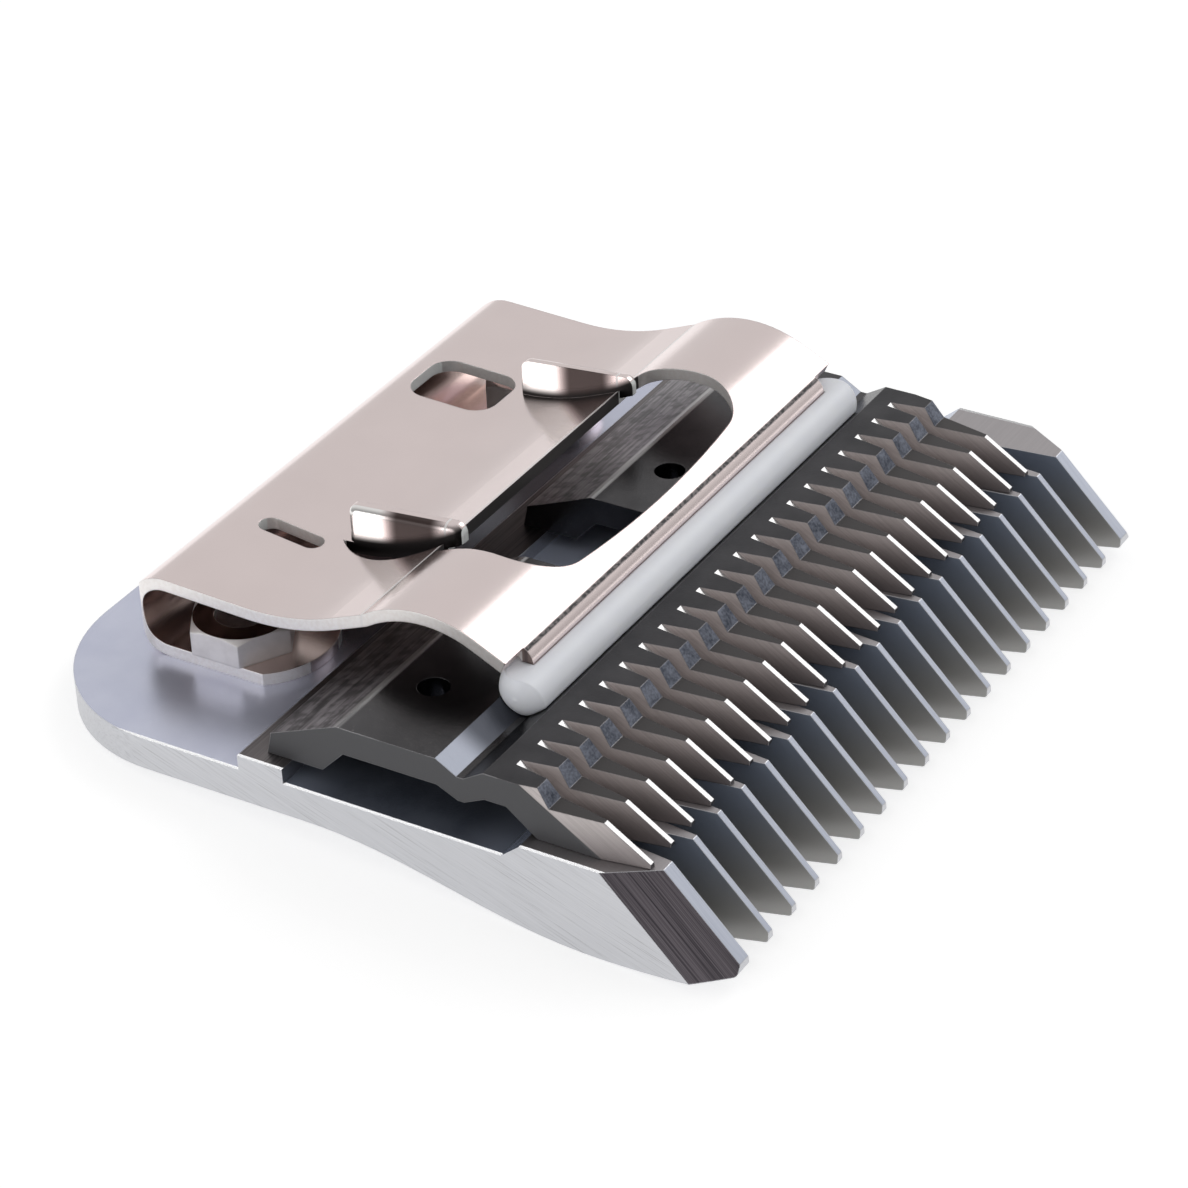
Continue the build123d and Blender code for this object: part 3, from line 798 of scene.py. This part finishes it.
def spring_finish():
    """Warm bright plate, painted brown shade inside the fold, cream where it was sheared, painted reflections
    on the ears, dark at the toe.
    """
    material, tree, shader = new_finish("nickel_sheet_finish")
    place = tree.group(PLACE)
    specks = mottle(tree, 0.25, 2.0)
    rolling = grinding(tree, (0.0, 1.0, 0.0), 0.08, 8.0, 0.6)
    plate = tree.mix(mottle(tree, 4.0, 0.6), (0.86, 0.745, 0.73), (0.82, 0.71, 0.695))
    cream = tree.mix(specks, (0.95, 0.905, 0.88), (1.0, 0.965, 0.945))
    haze = tree.ramp(rolling, 0.0, 1.0, 0.17, 0.23)
    on = {**ear_faces(tree, place), **sheet_faces(tree, place, specks)}
    layered(tree, shader, (plate, haze, 1.0), [
        # Painted shade and reflection: the inside of the fold is painted brown, and darker still in the bend.
        (on["inside"], (0.74, 0.61, 0.575), 0.22, 1.0),
        (on["painted_shade_in_bend"], (0.60, 0.465, 0.43), 0.25, 1.0),
        (on["sheared"], cream, 0.3, 0.6),
        # Painted reflection: the sheared edge at the window's rear is painted dark, as the dark cutter it
        # mirrors.
        (on["window_rear"], (0.09, 0.085, 0.085), 0.5, 0.6),
        # Painted highlight: a light matt line is painted along the crease in front of the ears.
        (on["painted_crease_highlight"], (0.93, 0.90, 0.89), 0.4, 0.45),
        # Painted reflection: the rear part of each ear face is painted a bright mirror.
        (on["painted_bright_rear"], (0.97, 0.95, 0.93), 0.2, 1.0),
        # Painted reflection: the middle of each ear face is painted dark brown.
        (on["painted_dark_middle"], (0.05, 0.03, 0.027), 0.25, 0.3),
        (tree.all_of(on["sheared"], on["toe"]), (0.26, 0.20, 0.185), 0.5, 0.6),
        # Painted reflection: the foot of each ear face is painted black, as the dark gap beneath it.
        (on["painted_dark_foot"], (0.02, 0.018, 0.018), 0.4, 1.0),
        # Ear ends and slot walls are sheared edges: their own cream colour, painted paler and matt as painted
        # light.
        (tree.math("MAXIMUM", on["ear_end"], on["slot_wall"]), (0.86, 0.88, 0.87), 0.4, 0.2),
        # A dark speckled line along the toe's bend.
        (on["dark_toe_line"], (0.05, 0.048, 0.05), 0.5, 0.5),
    ])
    lean = tree.node("ShaderNodeCombineXYZ", {2: tree.math("MULTIPLY", on["ear_face"], EAR_LEAN)}).outputs[0]
    rounded = tree.group(EDGES, Radius=0.1 * MM)["Normal"]
    relief(tree, shader, rolling, 0.03, tree.vector("ADD", rounded, lean))
    return material


dress(spring_finish(), "tension_spring")

# %% [markdown]
# ## Plate on the nuts
# The nuts are turned steel with the same plate, gone matt and pale on the flats. Their tops look up into
# the fold, and they get a smooth dark brown mirror, painted shade from the fold above. One mask that asks
# for "up" does it.


# %% Nut finish
def nut_finish():
    """Plate over turned steel: matt and pale on the flats, a smooth mirror painted dark on top as shade."""
    material, tree, shader = new_finish("bright_nickel_finish")
    clouds = mottle(tree, 0.8, 0.9)
    plate = tree.mix(clouds, (0.80, 0.765, 0.76), (0.90, 0.865, 0.86))
    # Painted shade: the tops are painted a dark brown mirror, as the shade of the fold above them.
    layered(tree, shader, (plate, 0.42, 0.6), [(facing(tree, UP, 0.95), (0.42, 0.34, 0.315), 0.16, 1.0)])
    relief(tree, shader, clouds, 0.05, tree.group(EDGES, Radius=0.14 * MM)["Normal"])
    return material


dress(nut_finish(), "left_nut", "right_nut")

# %% [markdown]
# ## Plain steel of the screws
# The screws are turned and lightly oiled. Rings from the lathe would be finer than anything seen from
# outside, and little of the screws shows, so faint clouds of oil are enough.


# %% Screw finish
def screw_finish():
    """Turned steel with faint clouds."""
    material, tree, shader = new_finish("screw_steel_finish")
    clouds = mottle(tree, 0.6, 0.8)
    layered(tree, shader, (tree.mix(clouds, (0.45, 0.45, 0.46), (0.6, 0.6, 0.6)), 0.34, 1.0))
    relief(tree, shader, clouds, 0.05, tree.group(EDGES, Radius=0.08 * MM)["Normal"])
    return material


dress(screw_finish(), "left_screw", "right_screw")

# %% [markdown]
# ## White moulding of the guide bar
# The guide bar is a slippery white plastic: a little waxy, with light that seeps in at its rounded ends.
# Plain white paint would look chalky, so a quarter of its light goes under the surface for about a
# millimetre.


# %% Guide finish
def guide_finish():
    """Waxy white plastic with a faint cloudiness."""
    material, tree, shader = new_finish("white_plastic_finish")
    clouds = mottle(tree, 1.5, 0.6)
    layered(tree, shader, (tree.mix(clouds, (0.87, 0.89, 0.96), (0.92, 0.94, 1.0)), 0.36, 0.0))
    shader["Subsurface Weight"].default_value = 0.25
    shader["Subsurface Radius"].default_value = (0.8 * MM, 0.8 * MM, 0.9 * MM)
    shader["Subsurface Scale"].default_value = 1.0
    relief(tree, shader, clouds, 0.04, tree.group(EDGES, Radius=0.15 * MM)["Normal"])
    return material


dress(guide_finish(), "blade_guide")
